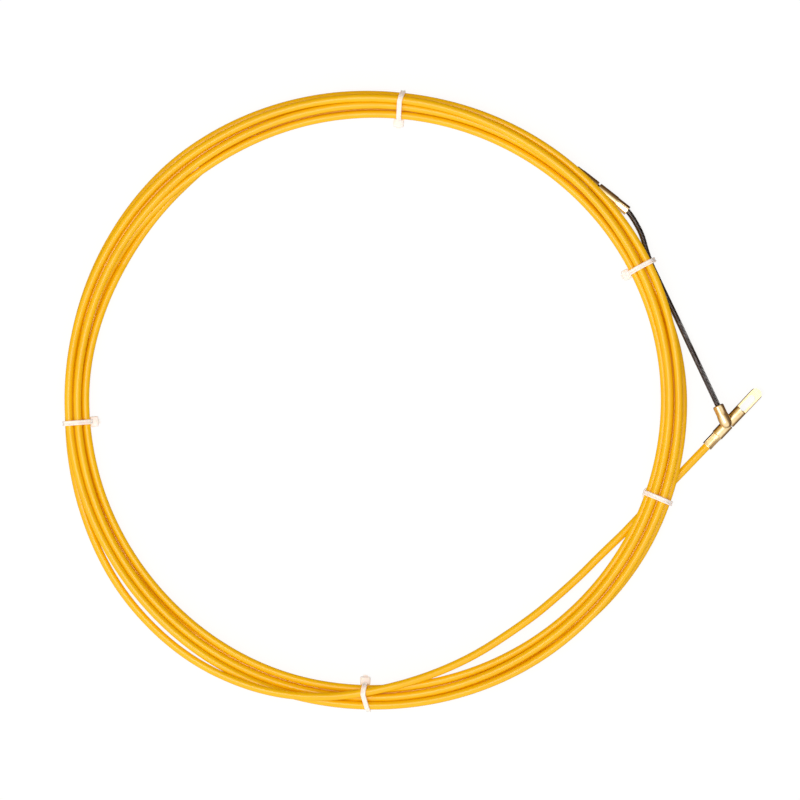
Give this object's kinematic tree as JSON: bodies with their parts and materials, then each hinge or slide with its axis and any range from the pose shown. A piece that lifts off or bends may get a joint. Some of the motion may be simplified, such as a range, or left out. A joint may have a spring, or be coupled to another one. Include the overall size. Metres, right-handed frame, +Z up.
{
  "type": "fish tape coil",
  "caption": "Flat tied coil of round plastic fish tape rod with a crimped, slotted eye on one end and a spring leader with a bullet tip on the other.",
  "frame": {"origin": "middle of the part's footprint, on the surface that the coil lies on", "axes": "+Z up out of the coil's plane, +X across the coil towards the slotted eye, +Y in the coil's plane"},
  "size_m": [0.3116, 0.277, 0.0136],
  "materials": {
    "rod_plastic": "semi-gloss extruded yellow plastic rod",
    "brass": "turned and polished brass",
    "stud_steel": "plain steel",
    "spring_steel": "blackened close-wound spring wire",
    "tie_nylon": "natural translucent nylon"
  },
  "bodies": {
    "coil": {"rod_coil": "rod_plastic", "rod_tail": "rod_plastic", "rod_lead_out": "rod_plastic", "eye_socket": "brass", "leader_socket": "brass", "leader_stud": "stud_steel", "leader_plug": "brass", "leader_spring_rear": "spring_steel", "leader_core_rear": "stud_steel", "tie_lower_right": "tie_nylon", "tie_bottom": "tie_nylon", "tie_left": "tie_nylon", "tie_top": "tie_nylon", "tie_upper_right": "tie_nylon"},
    "eye_stud": {"eye_stud": "stud_steel"},
    "eye_tip": {"eye_tip": "brass"},
    "leader_front": {"leader_spring_front": "spring_steel", "leader_core_front": "stud_steel", "bullet_tip": "brass"}
  },
  "joints": [
    {"name": "eye_advance", "type": "slide", "parent": "coil", "child": "eye_stud", "axis": [0.6858, 0.7278, 0], "range_m": [0, 0.0021]},
    {"name": "eye_unscrew", "type": "hinge", "parent": "eye_stud", "child": "eye_tip", "pos_m": [0.14101, -0.01006, 0.0027], "axis": [0.6858, 0.7278, 0], "range_deg": [0, 1080]},
    {"name": "leader_flex", "type": "hinge", "parent": "coil", "child": "leader_front", "pos_m": [0.1091, 0.05548, 0.00265], "axis": [0, 0, 1], "range_deg": [-1, 70], "stiffness_Nm_per_rad": 0.02}
  ],
  "couplings": [
    {"joint": "eye_unscrew", "follows": "eye_advance", "rad_per_m": 8976}
  ]
}
